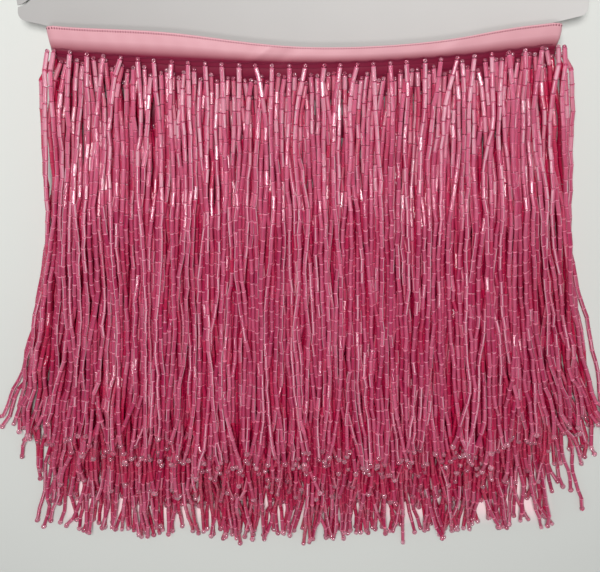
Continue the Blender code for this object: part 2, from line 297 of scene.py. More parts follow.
def strand_length(beads):
    """From a strand's root to its end, with the round beads."""
    return beads.per_strand * beads.pitch + 2 * ROUND_BEAD_ROOM


def strand_roots(side_strands):
    """x of each strand's root along the ribbon."""
    half = (NECK_STRANDS - 1) / 2
    roots = [(i - half) * STRAND_PITCH for i in range(NECK_STRANDS)]
    if side_strands:
        roots = [-SIDE_STRAND_X] + roots + [SIDE_STRAND_X]
    return np.array(roots)


def keep_apart(row):
    """Neighbours pushed apart to the least spacing, with their order kept."""
    for _ in range(SPREAD_PASSES):
        short = np.maximum(LEAST_SPACING - np.diff(row), 0.0) / 2
        row[:-1] -= short
        row[1:] += short
    for i in range(1, len(row)):
        row[i] = max(row[i], row[i - 1] + LEAST_SPACING)


def lie_of_run(run, knots, side_strands, length):
    """x and y of every strand's knots as seen from above, as an array (strand, knot, 2)."""
    draw = np.random.default_rng(run.seed)
    roots = strand_roots(side_strands)
    side = np.abs(roots) / SIDE_STRAND_X
    out = np.sign(roots)
    splay = out * np.where(out < 0, run.splay_left, run.splay_right) * side**SPLAY_TOWARDS_SIDE
    bulge = out * SIDE_BULGE * side**BULGE_TOWARDS_SIDE
    lean = draw.normal(0.0, LEAN, len(roots))
    bunch = 2 * math.pi * roots / BUNCH_LENGTH + draw.uniform(0.0, 2 * math.pi)
    wander = np.cumsum(draw.normal(0.0, WANDER, (len(roots), len(knots))), axis=1)
    shift = HEAD_SHIFT * (1.0 - roots / SIDE_STRAND_X) / 2
    x = np.zeros((len(roots), len(knots)))
    x[:, 0] = roots + shift
    for j, share in list(enumerate(knots))[1:]:
        row = roots * (1.0 + FAN * share**FAN_CURVE) + splay * share**SPLAY_CURVE
        row += bulge * (1.0 - math.exp(-share * length / SIDE_BULGE_OVER))
        row += BUNCH_WIDTH * math.sqrt(share) * np.sin(bunch + BUNCH_TURN * share)
        row += lean * share + wander[:, j] + shift * (1.0 - share) ** SHIFT_FADE
        keep_apart(row)
        x[:, j] = row
    y = np.zeros_like(x)
    y[:, 0] = edge_y(run, roots)
    for j in range(1, len(knots)):
        step = (knots[j] - knots[j - 1]) * length
        sideways = x[:, j] - x[:, j - 1]
        y[:, j] = y[:, j - 1] - np.sqrt(np.maximum(step**2 - sideways**2, (STEEPEST * step) ** 2))
    return np.stack([x, y], axis=2)


# Laying the beads

LAYING_SEED = 100
# How many more strands a run has between each two of the solids', where it isn't one
EXTRA_STRANDS = {
    "fringe_front_1": 0,
    "fringe_front_2": 2,
    "fringe_front_3": 2,
    "fringe_front_5": 4,
    "fringe_back_4": 3,
}
# How far those stray from the way between the two
STRAY = 0.0021

# A strand's line: its points, and how unevenly it hangs
STEPS_A_STRETCH = 24
RUN_ON = 0.02
ALONG_BEAD = np.linspace(0.0, 1.0, 13)
LENGTH_SPREAD = 0.00035
STRAND_SPREAD = 0.011
HEAD_DROPS = (-0.0030, 0.0014)
KINK = 0.0001
SWAY = 0.00045
SWAY_BEADS = 5
CLUMP = 0.0011
CLUMP_LENGTH = 0.0085
CLUMP_TOWARDS_END = 3
FRAY = 0.0042
FRAY_BEADS = 7
FRAY_CURVE = 1.5

# How a strand slides into the hollows, and what keeps it from it
SLIDE = 0.0030
SLIDE_STEPS = 25
STRAIGHTEN = 2200.0
HOLD_BACK = 12.0
SIDE_HOLD = 3.0
HELD_BEADS = 14
HELD_LEFT_OF = -0.0965
SMOOTHING = (0.1, 0.2, 0.4, 0.2, 0.1)

# How steeply a strand can fall, and how high it can lie
SLOPE = 0.22
END_SLOPE = 0.45
END_BEADS = 7
ROOT_SLOPE = 0.32
ROOT_BEADS = 6
GIVE = 0.7
PILE_TOP = 0.0230

# What is seen of a bead, and how deep it lies in the shade
SEEN_ASIDE = (-0.0007, 0.0, 0.0007)
SEEN_UNDER = 0.0003
SEEN_SAMPLES = 5
SEEN_LAST = 3
DEEP_UNDER = 0.0022
SHADE_CELLS = 8
SHADE_REACH = 8
SHADE_SLOPE = 0.25
SHADE_UNDER = 0.0040
SHADE_MOST = 0.75


def strands_between(neck, extra, draw):
    """More strands for a run, so many laid between each two that hang from the neck's ribbon."""
    shares = np.linspace(0.0, 1.0, neck.shape[1])
    rows = []
    for i in range(extra):
        share = (i + 1) / (extra + 1)
        between = neck[:-1] * (1 - share) + neck[1:] * share
        between[:, :, 0] += draw.normal(0.0, STRAY, (len(between), 1)) * shares
        rows.append(between)
    return rows


def smooth_route(knots):
    """A smooth line through a strand's knots, as closely spaced points, and on past its end."""
    padded = np.vstack([2 * knots[0] - knots[1], knots, 2 * knots[-1] - knots[-2]])
    points = [knots[:1]]
    for before, start, end, after in zip(padded, padded[1:], padded[2:], padded[3:]):
        u = np.linspace(0.0, 1.0, STEPS_A_STRETCH + 1)[1:, None]
        straight, bend = end - before, 2 * before - 5 * start + 4 * end - after
        twist = 3 * start - before - 3 * end + after
        points.append((2 * start + straight * u + bend * u**2 + twist * u**3) / 2)
    way = knots[-1] - knots[-2]
    points.append(knots[-1:] + way / np.linalg.norm(way) * RUN_ON)
    return np.concatenate(points)


def joints_along(route, beads, head_drops, draw):
    """x and y of the joints between a strand's beads, from its root to its end."""
    steps = np.linalg.norm(np.diff(route, axis=0), axis=1)
    walked = np.concatenate([[0.0], np.cumsum(steps)])
    lengths = draw.normal(beads.pitch, LENGTH_SPREAD, beads.per_strand)
    lengths *= draw.normal(1.0, STRAND_SPREAD)
    places = beads.head + np.concatenate([[0.0], np.cumsum(lengths)])
    joints = np.stack([np.interp(places, walked, route[:, i]) for i in (0, 1)], axis=1)
    joints[:, 1] -= draw.uniform(*head_drops)
    count = len(joints)
    sway = np.cumsum(draw.normal(0.0, 1.0, count + SWAY_BEADS))
    sway = (sway[SWAY_BEADS:] - sway[:-SWAY_BEADS]) / math.sqrt(SWAY_BEADS)
    joints[:, 0] += SWAY * sway * np.minimum(1.0, np.arange(count) / SWAY_BEADS)
    joints[:, 0] += draw.normal(0.0, KINK, count)
    share = np.linspace(0.0, 1.0, count) ** CLUMP_TOWARDS_END
    joints[:, 0] += CLUMP * share * np.sin(2 * math.pi * joints[:, 0] / CLUMP_LENGTH)
    loose = np.clip((np.arange(count) - count + FRAY_BEADS) / FRAY_BEADS, 0.0, 1.0)
    joints[:, 0] += draw.normal(0.0, FRAY) * loose**FRAY_CURVE
    keep_lengths(joints, lengths)
    return joints


def keep_lengths(joints, lengths):
    """Draws a strand's joints in along y, so that its beads keep their lengths."""
    sideways = np.diff(joints[:, 0])
    down = np.sqrt(np.maximum(lengths**2 - sideways**2, (STEEPEST * lengths) ** 2))
    joints[1:, 1] = joints[0, 1] - np.cumsum(down)


def bead_samples(joints):
    """Points along each bead of a strand, as an array (bead, sample, 2)."""
    return joints[:-1, None] + np.diff(joints, axis=0)[:, None] * ALONG_BEAD[None, :, None]


def slide_into_hollows(pile, joints, radius, held):
    """Moves a strand's joints sideways, into the hollows between the strands that it lies on. One
    that is held, under the ribbon's left corner, doesn't slide outwards near its head."""
    offsets = np.linspace(-SLIDE, SLIDE, SLIDE_STEPS)
    tried = bead_samples(joints)[None] + np.array([1.0, 0.0]) * offsets[:, None, None, None]
    high = pile.rest_height(tried, radius).mean(axis=2)
    bend = STRAIGHTEN * (offsets[:, None] - offsets[None]) ** 2
    back = HOLD_BACK * offsets**2
    out = SIDE_HOLD * held * np.maximum(0.0, -offsets)
    cost = np.where(offsets == 0.0, 0.0, np.inf)
    came_from = []
    for bead in range(len(joints) - 1):
        step = cost[:, None] + bend + (high[:, None, bead] + high[None, :, bead]) / 2
        came_from.append(step.argmin(axis=0))
        cost = step.min(axis=0) + back + out * max(0.0, 1.0 - bead / HELD_BEADS)
    chosen = [int(cost.argmin())]
    for best in reversed(came_from):
        chosen.append(int(best[chosen[-1]]))
    slid = np.pad(offsets[chosen[::-1]], len(SMOOTHING) // 2, mode="edge")
    joints[1:, 0] += np.convolve(slid, SMOOTHING, mode="valid")[1:]


def drape(pile, joints, root_z, beads):
    """Heights of a strand's joints, lying on what is below it."""
    radius = beads.width / 2
    need = pile.rest_height(bead_samples(joints), radius)
    z = np.full(len(joints), radius)
    z[:-1] = need[:, 0]
    z[1:] = np.maximum(z[1:], need[:, -1])
    level = z[:-1, None] * (1 - ALONG_BEAD)
    short = (need - level - z[1:, None] * ALONG_BEAD).max(axis=1).clip(0.0)
    z += GIVE * np.maximum(np.append(short, 0.0), np.append(0.0, short))
    z[0] = root_z
    for j in range(1, len(z)):
        slope = ROOT_SLOPE if j <= ROOT_BEADS else SLOPE if j < len(z) - END_BEADS else END_SLOPE
        z[j] = max(z[j], z[j - 1] - slope * beads.pitch)
    for j in range(len(z) - 2, 0, -1):
        z[j] = max(z[j], z[j + 1] - SLOPE * beads.pitch)
    return np.minimum(z, PILE_TOP)


def lay_strand(pile, strand, radius):
    """Adds a draped strand to the pile."""
    middles = strand[:-1, 2, None] * (1 - ALONG_BEAD) + strand[1:, 2, None] * ALONG_BEAD
    pile.lay(bead_samples(strand[:, :2]), middles, radius)


def lay_run(pile, turn, at_front):
    """Drapes the strands of one side of a turn, some of them over their neighbours, and adds them to
    the pile."""
    run, knots = (FRONT_RUNS[turn], FRONT_KNOTS) if at_front else (BACK_RUNS[turn], BACK_KNOTS)
    beads = settings().beads
    radius = beads.width / 2
    draw = np.random.default_rng(run.seed + LAYING_SEED)
    lies = lie_of_run(run, knots, at_front, strand_length(beads))
    neck = lies[1:-1] if at_front else lies
    lies = np.concatenate([lies] + strands_between(neck, EXTRA_STRANDS.get(run.name, 1), draw))
    head_drops = HEAD_DROPS if run in FRONT_RUNS[1:-1] else (0.0, 0.0)
    strands = np.zeros((len(lies), beads.per_strand + 1, 3))
    for i in draw.permutation(len(lies)):
        root_x = lies[i, 0, 0]
        root_z = front_under(turn, root_x) if at_front else back_under(turn)
        joints = joints_along(smooth_route(lies[i]), beads, head_drops, draw)
        slide_into_hollows(pile, joints, radius, root_x < HELD_LEFT_OF)
        strands[i, :, :2] = joints
        strands[i, :, 2] = drape(pile, joints, root_z + radius, beads)
        lay_strand(pile, strands[i], radius)
    return strands


@lru_cache(maxsize=1)
def whole_roll():
    """Every strand's joints by the run's name, laid from the surface up, and the pile they make."""
    neck = np.arange(-NECK_HALF, NECK_HALF, PILE_CELL)
    pile = Pile()
    laid = {run.name: lay_run(pile, turn, False) for turn, run in enumerate(BACK_RUNS)}
    pile.lay_level(neck, (card_foot(), HEADS_Y), np.full(len(neck), CARD_TOP))
    for turn, run in reversed(list(enumerate(FRONT_RUNS))):
        laid[run.name] = lay_run(pile, turn, True)
        pile.lay_level(neck, (edge_y(run, 0.0), HEADS_Y), front_top(turn, neck))
    return laid, pile


def depth_in_pile(pile, strands, radius):
    """How far the pile rises over the top of each bead, as its least and its mean: (strand, bead)."""
    u = np.linspace(0.0, 1.0, SEEN_SAMPLES)[:, None]
    samples = strands[:, :-1, None] + np.diff(strands, axis=1)[:, :, None] * u
    least, mean = np.inf, 0.0
    for aside in SEEN_ASIDE:
        at = np.round((samples[..., :2] + [aside, 0.0] - pile.low) / PILE_CELL).astype(int)
        over = pile.top[at[..., 0], at[..., 1]] - samples[..., 2] - radius
        least = np.minimum(least, over.min(axis=2))
        mean = mean + over.mean(axis=2) / len(SEEN_ASIDE)
    return least, mean


def shade_height(pile):
    """On a coarse grid, how high the pile's shade reaches, for the light comes from the ribbon's side."""
    nx, ny = (n // SHADE_CELLS for n in pile.top.shape)
    blocks = pile.top[: nx * SHADE_CELLS, : ny * SHADE_CELLS]
    coarse = blocks.reshape(nx, SHADE_CELLS, ny, SHADE_CELLS).max(axis=(1, 3))
    padded = np.pad(coarse, ((0, 0), (0, SHADE_REACH)))
    fall = SHADE_SLOPE * SHADE_CELLS * PILE_CELL
    return np.max([padded[:, k : k + ny] - k * fall for k in range(1, SHADE_REACH + 1)], axis=0)


def shade_on(pile, strands, radius):
    """How deep each bead lies in the shade of higher strands, from 0 to 1: (strand, bead)."""
    middles = (strands[:, :-1] + strands[:, 1:]) / 2
    at = ((middles[..., :2] - pile.low) / (PILE_CELL * SHADE_CELLS)).astype(int)
    under = shade_height(pile)[at[..., 0], at[..., 1]] - middles[..., 2] - radius
    return np.clip(under / SHADE_UNDER, 0.0, SHADE_MOST)


# Meshes


class Shape:
    """Points, faces and normals of a piece, gathered from many small bodies."""

    def __init__(self):
        self.points, self.count, self.depths, self.tones = [], 0, [], []
        self.loops, self.sizes, self.finishes, self.normals = [], [], [], []

    def add(self, points, depth, *parts):
        """Adds bodies with the same faces. points is (body, point, 3), depth is each body's share of
        the way into the shade of the pile, and each part is (faces, finish, normals, tone), where
        normals has one for each corner, (body, face, corner, 3), and tone one for each face."""
        bodies, each = points.shape[:2]
        self.depths.append(np.repeat(np.broadcast_to(depth, bodies), each))
        first = self.count + each * np.arange(bodies)
        for faces, finish, normals, tone in parts:
            faces = np.asarray(faces)
            loops = first[:, None, None] + faces
            self.loops.append(loops.ravel())
            self.sizes.append(np.full(bodies * len(faces), faces.shape[1]))
            self.finishes.append(np.full(bodies * len(faces), finish))
            self.tones.append(np.broadcast_to(tone, (bodies, len(faces))).ravel())
            self.normals.append(np.broadcast_to(normals, loops.shape + (3,)).reshape(-1, 3))
        self.points.append(points.reshape(-1, 3))
        self.count += bodies * each

    def mesh(self, name, materials):
        """The mesh of all that was added."""
        made = bpy.data.meshes.new(name)
        points = np.concatenate(self.points)
        loops, sizes = np.concatenate(self.loops), np.concatenate(self.sizes)
        made.vertices.add(len(points))
        made.vertices.foreach_set("co", points.ravel())
        made.loops.add(len(loops))
        made.loops.foreach_set("vertex_index", loops)
        made.polygons.add(len(sizes))
        made.polygons.foreach_set("loop_start", np.cumsum(sizes) - sizes)
        made.polygons.foreach_set("material_index", np.concatenate(self.finishes))
        made.polygons.foreach_set("use_smooth", np.ones(len(sizes), dtype=bool))
        for finish in materials:
            made.materials.append(finish)
        made.update(calc_edges=True)
        for label, where, values in (("depth", "POINT", self.depths), ("tone", "FACE", self.tones)):
            made.attributes.new(label, "FLOAT", where).data.foreach_set("value", np.concatenate(values))
        made.normals_split_custom_set(np.concatenate(self.normals))
        return made


def add_object(name, data):
    """Puts a mesh, a lamp or a camera in the scene."""
    made = bpy.data.objects.new(name, data)
    bpy.context.scene.collection.objects.link(made)
    return made


def add_piece(mesh):
    """Puts a mesh in the scene as a piece of the roll."""
    piece = add_object(mesh.name, mesh)
    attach(piece, "root")
    return piece


def unit(vectors):
    return vectors / np.linalg.norm(vectors, axis=-1, keepdims=True)


def frames_along(ways):
    """Unit vectors along and across each way: (axis, across, up)."""
    axis = unit(ways)
    across = unit(np.cross(axis, [0.0, 0.0, 1.0]))
    return axis, across, np.cross(across, axis)


def spokes(angles, across, up):
    """Unit vectors at angles round an axis, with the angles last: (..., angle, 3)."""
    around, above = np.cos(angles)[..., None], np.sin(angles)[..., None]
    return around * across[..., None, :] + above * up[..., None, :]


def wall_faces(rings, sides):
    """Quads of the wall of a turned body, ring by ring."""
    quads = []
    for ring in range(rings - 1):
        for side in range(sides):
            here, there = ring * sides + side, ring * sides + (side + 1) % sides
            quads.append((here, here + sides, there + sides, there))
    return quads


def cap_faces(rings, sides):
    """The first and the last face of a turned body."""
    last = (rings - 1) * sides
    return [list(range(sides)), list(range(last, last + sides))[::-1]]


# Beads and threads

GLASS_SEED = 200
GLASS, GROUND, CLEAR, STRUNG, SEWN = range(5)

# Form of a bugle bead
FACETS = 6
HIDDEN_FACETS = 4
BEVEL = math.radians(13)
FACET_ANGLES = 2 * math.pi * np.arange(FACETS) / FACETS
EDGE_ANGLES = (FACET_ANGLES[:, None] + (math.pi / FACETS - BEVEL) * np.array([-1, 1])).ravel()
EDGE_REACH = math.cos(math.pi / FACETS) / math.cos(math.pi / FACETS - BEVEL)
WIDTH_RANGE = (0.97, 1.09)
GAP_RANGE = (0.5, 1.5)
RIM_FLARE = 1.09
FLARE_RANGE = (0.2, 1.8)
RIM_TURN = 0.9
ROLL_STEP = 0.10
ROLL_JUMP_CHANCE = 0.35

# Painted light on its sides: tones from 0 for dark to 1 for a painted glint
TONE_MIDDLE, TONE_SWING, TONE_PAINTED_UPPER_LIGHT, TONE_SPREAD, TONE_MOST = 0.22, 0.17, 0.10, 0.10, 0.88
TONE_DRIFT = 0.25
PAINTED_LIGHT_NEAR_RIBBON = 0.50
# The painted light on the ground rims: how it spreads over them, and where it fades to dim near the
# ribbon
RIM_TONE_POWER = 0.7
RIM_PAINTED_DIM_Y = (0.045, 0.075)
GLINT_SIDE, GLINT_DRIFT = 0.9, 0.15
GLINT_HALF, GLINT_HALF_MORE = 0.25, 0.14
GLINT_ON_DRIFT, GLINT_OFF = 0.45, -0.15
GLINT_TONE, GLINT_TONE_MORE, GLINT_TONE_SPREAD = 0.96, 0.04, 0.03
GLINT_RISE_Y = (0.03, 0.09)

# Round beads, with their steps round the hole and round the section, and threads
HEAD_STEPS = (7, 5)
END_STEPS = (8, 6)
HIDDEN_STEPS = (5, 3)
SEED_HOLE = 0.20
SEED_HEIGHT = 0.80
SEED_OFF_JOINT = 0.42
THREAD_SIDES = 3
SEWING_POINTS = 241
SEWING_RISE = 0.0002
SEWING_SLACK = 0.0004
SEWING_THREAD = 0.00025


def rolls(count, beads_each, draw):
    """Turn of each bead about the thread, nearly the same from one bead to the next at times."""
    jumps = draw.uniform(-1.0, 1.0, (count, beads_each)) * math.pi / FACETS
    jumps *= draw.random((count, beads_each)) < ROLL_JUMP_CHANCE
    steps = draw.normal(0.0, ROLL_STEP, (count, beads_each)) + jumps
    steps[:, 0] = draw.uniform(0.0, math.pi, count)
    return np.cumsum(steps, axis=1)


def share_between(values, low, high):
    """How far each value is from low to high, from 0 to 1."""
    return np.clip((values - low) / (high - low), 0.0, 1.0)


def painted_rim_tones(middle_y, draw):
    """A tone of painted light for the ground rim of each bead: some are painted as catching the light,
    but none close to the ribbon, where they are painted dim.
    """
    bright = draw.random(middle_y.shape) ** RIM_TONE_POWER
    return bright * (1.0 - share_between(middle_y, *RIM_PAINTED_DIM_Y))


def painted_facet_tones(roll, middle_y, draw):
    """A tone of painted light for each facet and each edge of each bead, as (strand, bead, side). It
    paints the reflection of what lies round the glass, so a tone goes with the way that a side faces,
    lighter on the upper sides, and runs on from bead to bead, with painted glints. Near the ribbon more
    sides get painted glints, and brighter."""
    count, beads_each = roll.shape
    middles = np.stack([FACET_ANGLES, FACET_ANGLES + math.pi / FACETS], axis=1).ravel()
    faces_way = roll[..., None] + middles

    def drift(spread):
        walk = np.cumsum(draw.normal(0.0, spread, (count, beads_each)), axis=1)
        return (walk + draw.uniform(0.0, 2 * math.pi, (count, 1)))[..., None]

    tones = TONE_MIDDLE + TONE_SWING * np.cos(2 * (faces_way - drift(TONE_DRIFT)))
    near = share_between(middle_y, *GLINT_RISE_Y)[..., None]
    tones += TONE_PAINTED_UPPER_LIGHT * np.sin(faces_way) + draw.normal(0.0, TONE_SPREAD, (count, beads_each, 1))
    tones = np.clip(tones + PAINTED_LIGHT_NEAR_RIBBON * near, 0.0, TONE_MOST)
    off = np.angle(np.exp(1j * (faces_way - math.pi / 2 - GLINT_SIDE * np.sin(drift(GLINT_DRIFT)))))
    lit = np.sin(drift(GLINT_ON_DRIFT)) > GLINT_OFF
    glints = (np.abs(off) < GLINT_HALF + GLINT_HALF_MORE * near) & lit
    bright = GLINT_TONE + GLINT_TONE_MORE * near + draw.normal(0.0, GLINT_TONE_SPREAD, tones.shape)
    return np.where(glints, np.clip(bright, 0.0, 1.0), tones)


def add_bugles(shape, starts, ends, roll, tones, rims, depth, beads, draw):
    """Six-sided bugle beads with narrow rounded edges and a ground rim at the upper end."""
    axis, across, up = frames_along(ends - starts)
    radius = beads.width / 2 * draw.uniform(*WIDTH_RANGE, (len(starts), 1))
    edge = spokes(roll[:, None] + EDGE_ANGLES, across, up) * EDGE_REACH
    lean = spokes(roll[:, None] + np.repeat(FACET_ANGLES, 2), across, up)
    inset = beads.gap / 2 * draw.uniform(*GAP_RANGE, (len(starts), 1))
    flare = radius * (1.0 + (RIM_FLARE - 1.0) * draw.uniform(*FLARE_RANGE, (len(starts), 1)))
    stations = (
        (starts + inset * axis, flare),
        (starts + (inset + beads.rim) * axis, radius),
        (ends - inset * axis, radius),
    )
    points = np.concatenate([middle[:, None] + r[..., None] * edge for middle, r in stations], axis=1)
    rim_lean = unit(lean - RIM_TURN * axis[:, None])
    normals = np.concatenate([rim_lean, lean, lean], axis=1)
    sides = edge.shape[1]
    walls = np.asarray(wall_faces(3, sides))
    caps = cap_faces(3, sides)
    cap_normals = np.stack([-axis, axis], axis=1)[:, :, None]
    shape.add(
        points,
        depth,
        (walls[:sides], GROUND, normals[:, walls[:sides]], rims[:, None]),
        (walls[sides:], GLASS, normals[:, walls[sides:]], tones),
        (caps, GROUND, cap_normals, rims[:, None]),
    )


def add_hidden_bugles(shape, starts, ends, roll, beads):
    """Plainer bugle beads, for those under others."""
    axis, across, up = frames_along(ends - starts)
    edge = spokes(roll[:, None] + 2 * math.pi * np.arange(HIDDEN_FACETS) / HIDDEN_FACETS, across, up)
    rims = (starts + beads.gap / 2 * axis, ends - beads.gap / 2 * axis)
    points = np.concatenate([rim[:, None] + beads.width / 2 * edge for rim in rims], axis=1)
    normals = np.concatenate([edge, edge], axis=1)
    walls, caps = np.asarray(wall_faces(2, HIDDEN_FACETS)), cap_faces(2, HIDDEN_FACETS)
    cap_normals = np.stack([-axis, axis], axis=1)[:, :, None]
    shape.add(points, 1.0, (walls, GLASS, normals[:, walls], 0.0), (caps, GLASS, cap_normals, 0.0))


def add_round_beads(shape, centres, hole_way, diameter, round_steps, section_steps):
    """Small round beads with their holes along hole_way."""
    outer, hole = diameter / 2, diameter / 2 * SEED_HOLE
    axis, across, up = frames_along(hole_way)
    count = len(centres)
    turn = 2 * math.pi * np.arange(round_steps) / round_steps
    around = spokes(np.broadcast_to(turn, (count, round_steps)), across, up)
    section = 2 * math.pi * np.arange(section_steps) / section_steps
    reach = (outer + hole) / 2 + (outer - hole) / 2 * np.cos(section)
    rise = outer * SEED_HEIGHT * np.sin(section)
    out, along = around[:, :, None], axis[:, None, None]
    points = centres[:, None, None] + reach[:, None] * out + rise[:, None] * along
    normals = np.cos(section)[:, None] * out + np.sin(section)[:, None] * along
    faces = []
    for i in range(round_steps):
        here, there = i * section_steps, (i + 1) % round_steps * section_steps
        for j in range(section_steps):
            k = (j + 1) % section_steps
            faces.append((here + k, there + k, there + j, here + j))
    flat = (count, round_steps * section_steps, 3)
    corners = normals.reshape(flat)[:, np.asarray(faces)]
    shape.add(points.reshape(flat), 0.0, (faces, CLEAR, corners, 0.0))


def add_threads(shape, lines, thickness, finish):
    """Threads along lines of points (line, point, 3)."""
    _, across, up = frames_along(np.gradient(lines, axis=1))
    angles = 2 * math.pi * (np.arange(THREAD_SIDES) + 0.5) / THREAD_SIDES
    edge = spokes(angles, across, up)
    rings = lines.shape[1]
    flat = (len(lines), rings * THREAD_SIDES, 3)
    points = (lines[:, :, None] + thickness / 2 * edge).reshape(flat)
    normals = edge.reshape(flat)
    walls = wall_faces(rings, THREAD_SIDES)
    shape.add(points, 0.0, (walls, finish, normals[:, walls], 0.0))


def sewing_line(run):
    """The thread that runs along the heads of a front run, slack between them."""
    turn = FRONT_RUNS.index(run)
    x = np.linspace(-NECK_HALF, NECK_HALF, SEWING_POINTS)
    slack = np.sin(math.pi * x / STRAND_PITCH) ** 2
    y = edge_y(run, x) + SEWING_RISE - SEWING_SLACK * slack
    return np.stack([x, y, front_under(turn, x) + settings().beads.width / 2], axis=1)


def add_strand_ends(shape, strands, seen, beads, draw):
    """The round bead at each strand's head and end. Its hole lies across the strand, for the thread
    turns back through it."""
    for end, inner, diameter, steps in ((0, 1, beads.head, HEAD_STEPS), (-1, -2, beads.end, END_STEPS)):
        way = unit(strands[:, end] - strands[:, inner])
        centres = strands[:, end] + way * diameter * SEED_OFF_JOINT
        centres[:, 2] = np.maximum(centres[:, 2] + (diameter - beads.width) / 2, diameter / 2)
        _, across, up = frames_along(way)
        hole_way = spokes(draw.uniform(0.0, math.pi, (len(centres), 1)), across, up)[:, 0]
        for these, steps in ((seen[:, end], steps), (~seen[:, end], HIDDEN_STEPS)):
            add_round_beads(shape, centres[these], hole_way[these], diameter, *steps)


def fringe_run(run):
    """The bugle beads of one run, and its thread with the round beads at the strands' heads and ends."""
    beads = settings().beads
    laid, pile = whole_roll()
    strands = laid[run.name]
    least, mean = depth_in_pile(pile, strands, beads.width / 2)
    seen = least < SEEN_UNDER
    seen[:, -SEEN_LAST:] = True
    depth = np.clip(mean / DEEP_UNDER, shade_on(pile, strands, beads.width / 2), 1.0)
    draw = np.random.default_rng(run.seed + GLASS_SEED)
    roll = rolls(len(strands), beads.per_strand, draw)
    starts, ends = strands[:, :-1], strands[:, 1:]
    middle_y = (starts[..., 1] + ends[..., 1]) / 2
    # Painted light on the facets, glints and ground rims of the beads that are seen
    tones = painted_facet_tones(roll, middle_y, draw)[seen]
    rims = painted_rim_tones(middle_y, draw)[seen]
    bugles, strung = Shape(), Shape()
    add_bugles(bugles, starts[seen], ends[seen], roll[seen], tones, rims, depth[seen], beads, draw)
    add_hidden_bugles(bugles, starts[~seen], ends[~seen], roll[~seen], beads)
    add_strand_ends(strung, strands, seen, beads, draw)
    add_threads(strung, np.stack([starts[seen], ends[seen]], axis=1), beads.thread, STRUNG)
    if run in FRONT_RUNS:
        add_threads(strung, sewing_line(run)[None], SEWING_THREAD, SEWN)
    for shape, name in ((bugles, "beads"), (strung, "thread")):
        mesh = shape.mesh(run.name.replace("fringe", name), bead_finishes())
        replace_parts(add_piece(mesh), run.name)


# Ribbon

# How the ribbon goes round the card's sides
SIDE_OUT = 0.0008
SIDE_TURN = 0.0005
RIGHT_OUT = 0.0009
SIDE_ROUND = 0.45
SIDE_STATIONS = 14
OUTER_END = 0.45

# Its points: from one to the next along it, and their places across it
PLAIN_STEP = 0.0035
SELVEDGE_STEP = 0.0007
ROW_SHARES = (0.0, 0.025, 0.07, 0.15, 0.27, 0.40, 0.52, 0.62, 0.70, 0.77, 0.88, 0.975, 1.0)
HEADS_ROW = 9

# Its form: the selvedge, the curl of its foot, the ripples and the soft folds
SELVEDGE_LIFTS = (-0.00012, 0.00016, 0.0)
SCALLOP = 0.00022
FRONT_CURL = 0.0015
BACK_CURL = 0.0019
CURL_POWER = 2.6
FOOT_FALL = 0.0009
BACK_LIFT = 0.0003
LIFT_START = 0.1
# Each ripple's height, length, phase and slant, then each fold's height, place, lean and half width
RIPPLES = ((0.00010, 0.037, 0.4, 300.0), (0.00007, 0.0143, 1.9, -420.0), (0.00005, 0.0071, 3.1, 250.0))
FOLDS = ((0.0008, -0.013, 1.3, 0.0026), (-0.0006, -0.004, 0.9, 0.0030), (0.0005, 0.058, 0.8, 0.0045))
# Where the satin stands wider above the heads: how much, the place along x, and half its length
WIDER = ((0.0041, -0.054, 0.040), (0.0014, 0.082, 0.020))
# Share by which the satin's tones are drawn up its width at the card's sides, so less painted shade falls
# there
SIDE_PALER = 0.2

# One place along the wound ribbon: its line of heads, and how it faces.
Station = namedtuple("Station", "x z out_x out_z drop sag top_sag curl")


def level_run(turn, at_front):
    """Stations along one side of a turn, in the way that the ribbon is wound."""
    step = SELVEDGE_STEP if at_front and turn == 0 else PLAIN_STEP
    count = int(round(2 * NECK_HALF / step)) + 1
    xs = np.linspace(-NECK_HALF, NECK_HALF, count)
    if at_front:
        run = FRONT_RUNS[turn]
        return [
            Station(x, front_top(turn, x), 0.0, 1.0, run.drop, run.sag, RIBBON_TOP_SAG, FRONT_CURL)
            for x in xs[::-1]
        ]
    run, z = BACK_RUNS[turn], back_under(turn) + BACK_LIFT
    return [Station(x, z, 0.0, -1.0, run.drop, run.sag, RIBBON_BACK_SAG, BACK_CURL) for x in xs]


def side_run(side, out, front_turn, back_turn, upwards, first_share=0.0):
    """Stations round one side of the card, between a front turn and a back turn."""
    front, z_front = FRONT_RUNS[front_turn], front_top(front_turn, NECK_HALF)
    back, z_back = BACK_RUNS[back_turn], back_under(back_turn) + BACK_LIFT
    stations = []
    for share in np.linspace(first_share, 1.0, SIDE_STATIONS)[1:-1]:
        up = share if upwards else 1.0 - share
        angle = math.pi * (up - 0.5)
        reach = math.cos(angle) ** SIDE_ROUND
        z = (z_front + z_back) / 2 + (z_front - z_back) / 2 * math.sin(angle)
        drop = back.drop + (front.drop - back.drop) * up
        curl = BACK_CURL + (FRONT_CURL - BACK_CURL) * up
        x = side * (NECK_HALF + out * reach)
        stations.append(Station(x, z, side * math.cos(angle), math.sin(angle), drop, 0, 0, curl))
    return stations


def wound_stations():
    """All the ribbon's stations, from its outer end at the right-hand side to its inner end."""
    turns = len(FRONT_RUNS)
    outermost = SIDE_OUT + RIGHT_OUT + SIDE_TURN * turns
    stations = side_run(1, outermost, 0, 0, True, first_share=OUTER_END)
    for turn in range(turns):
        stations += level_run(turn, True)
        if turn < len(BACK_RUNS):
            out = SIDE_OUT + SIDE_TURN * (turns - turn)
            stations += side_run(-1, out, turn, turn, False)
            stations += level_run(turn, False)
            stations += side_run(1, out + RIGHT_OUT - SIDE_TURN / 2, turn + 1, turn, True)
    return stations


